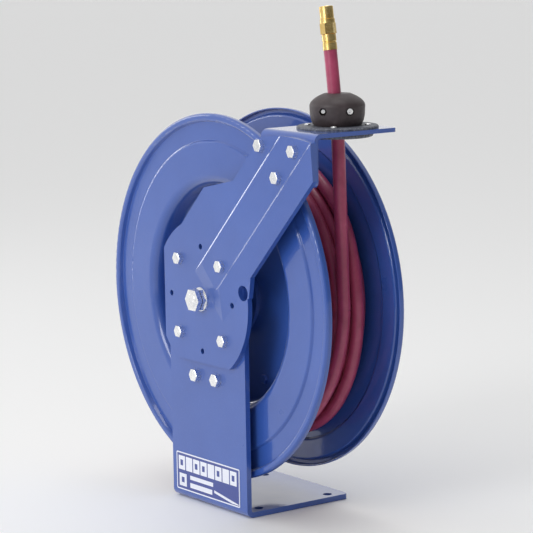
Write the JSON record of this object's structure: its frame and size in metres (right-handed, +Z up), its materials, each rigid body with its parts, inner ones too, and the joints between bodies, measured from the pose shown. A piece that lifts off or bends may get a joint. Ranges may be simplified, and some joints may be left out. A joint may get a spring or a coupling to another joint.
{
  "type": "spring-rewind hose reel",
  "caption": "Single-pedestal spring-rewind hose reel: stamped discs, wound hose, guide arm with hose stop, ratchet and inlet swivel.",
  "frame": {"origin": "centre of the base's four mounting holes, on the floor plane", "axes": "+Z up, +Y along the axle from the pedestal to the reel, +X towards the side where the hose leaves"},
  "size_m": [0.4345, 0.1812, 0.5926],
  "materials": {
    "blue_paint": "glossy blue enamel",
    "hose_rubber": "satin maroon rubber",
    "zinc": "bright zinc plating",
    "brass": "polished brass",
    "stop_rubber": "matt black rubber",
    "guide_polymer": "grey polymer",
    "steel": "machined steel",
    "spring_steel": "oiled spring steel",
    "bronze": "sintered bronze",
    "label": "printed film"
  },
  "bodies": {
    "frame": {"pedestal": "blue_paint", "guide_arm": "blue_paint", "guide_table": "blue_paint", "guide_bushing_upper": "guide_polymer", "guide_bushing_lower": "guide_polymer", "guide_screws": "zinc", "axle": "zinc", "spring_arbor": "steel", "axle_washer": "zinc", "axle_nut": "zinc", "axle_jam_nut": "zinc", "arm_bolts": "zinc", "arm_band_bolt": "zinc", "table_bolt": "zinc", "table_band_bolts": "zinc", "table_nuts": "zinc", "pawl_pivot": "zinc", "spring_post": "zinc", "pawl_nut": "zinc", "pawl_spacer": "steel", "pawl_spring": "spring_steel", "label_plate": "label", "hose_run": "hose_rubber", "hose_stop_front": "stop_rubber", "hose_stop_back": "stop_rubber", "stop_screws": "zinc", "hose_fitting": "brass"},
    "reel": {"near_disc": "blue_paint", "far_disc": "blue_paint", "spring_case": "blue_paint", "spring_cover": "steel", "mainspring": "spring_steel", "near_hub": "blue_paint", "far_hub": "steel", "near_bearing": "bronze", "far_bearing": "bronze", "ratchet_wheel": "steel", "riser_pipe": "steel", "gland_nut": "brass", "near_case_bolts": "blue_paint", "near_hub_bolts": "blue_paint", "far_case_bolts": "zinc", "far_hub_bolts": "zinc", "hose_winding": "hose_rubber"},
    "pawl": {"pawl": "steel"},
    "swivel": {"swivel_elbow": "brass"}
  },
  "joints": [
    {"name": "reel_spin", "type": "hinge", "parent": "frame", "child": "reel", "pos_m": [0, 0, 0.25], "axis": [0, 1, 0], "continuous": true},
    {"name": "inlet_swivel", "type": "hinge", "parent": "reel", "child": "swivel", "pos_m": [0, 0.0678, 0.25], "axis": [0, 1, 0], "continuous": true},
    {"name": "pawl_lift", "type": "hinge", "parent": "frame", "child": "pawl", "pos_m": [0.021, -0.0627, 0.156], "axis": [0, 1, 0], "range_deg": [-12, 0], "stiffness_Nm_per_rad": 0.1, "springref_deg": 17.19, "deforming": ["pawl_spring"]}
  ]
}
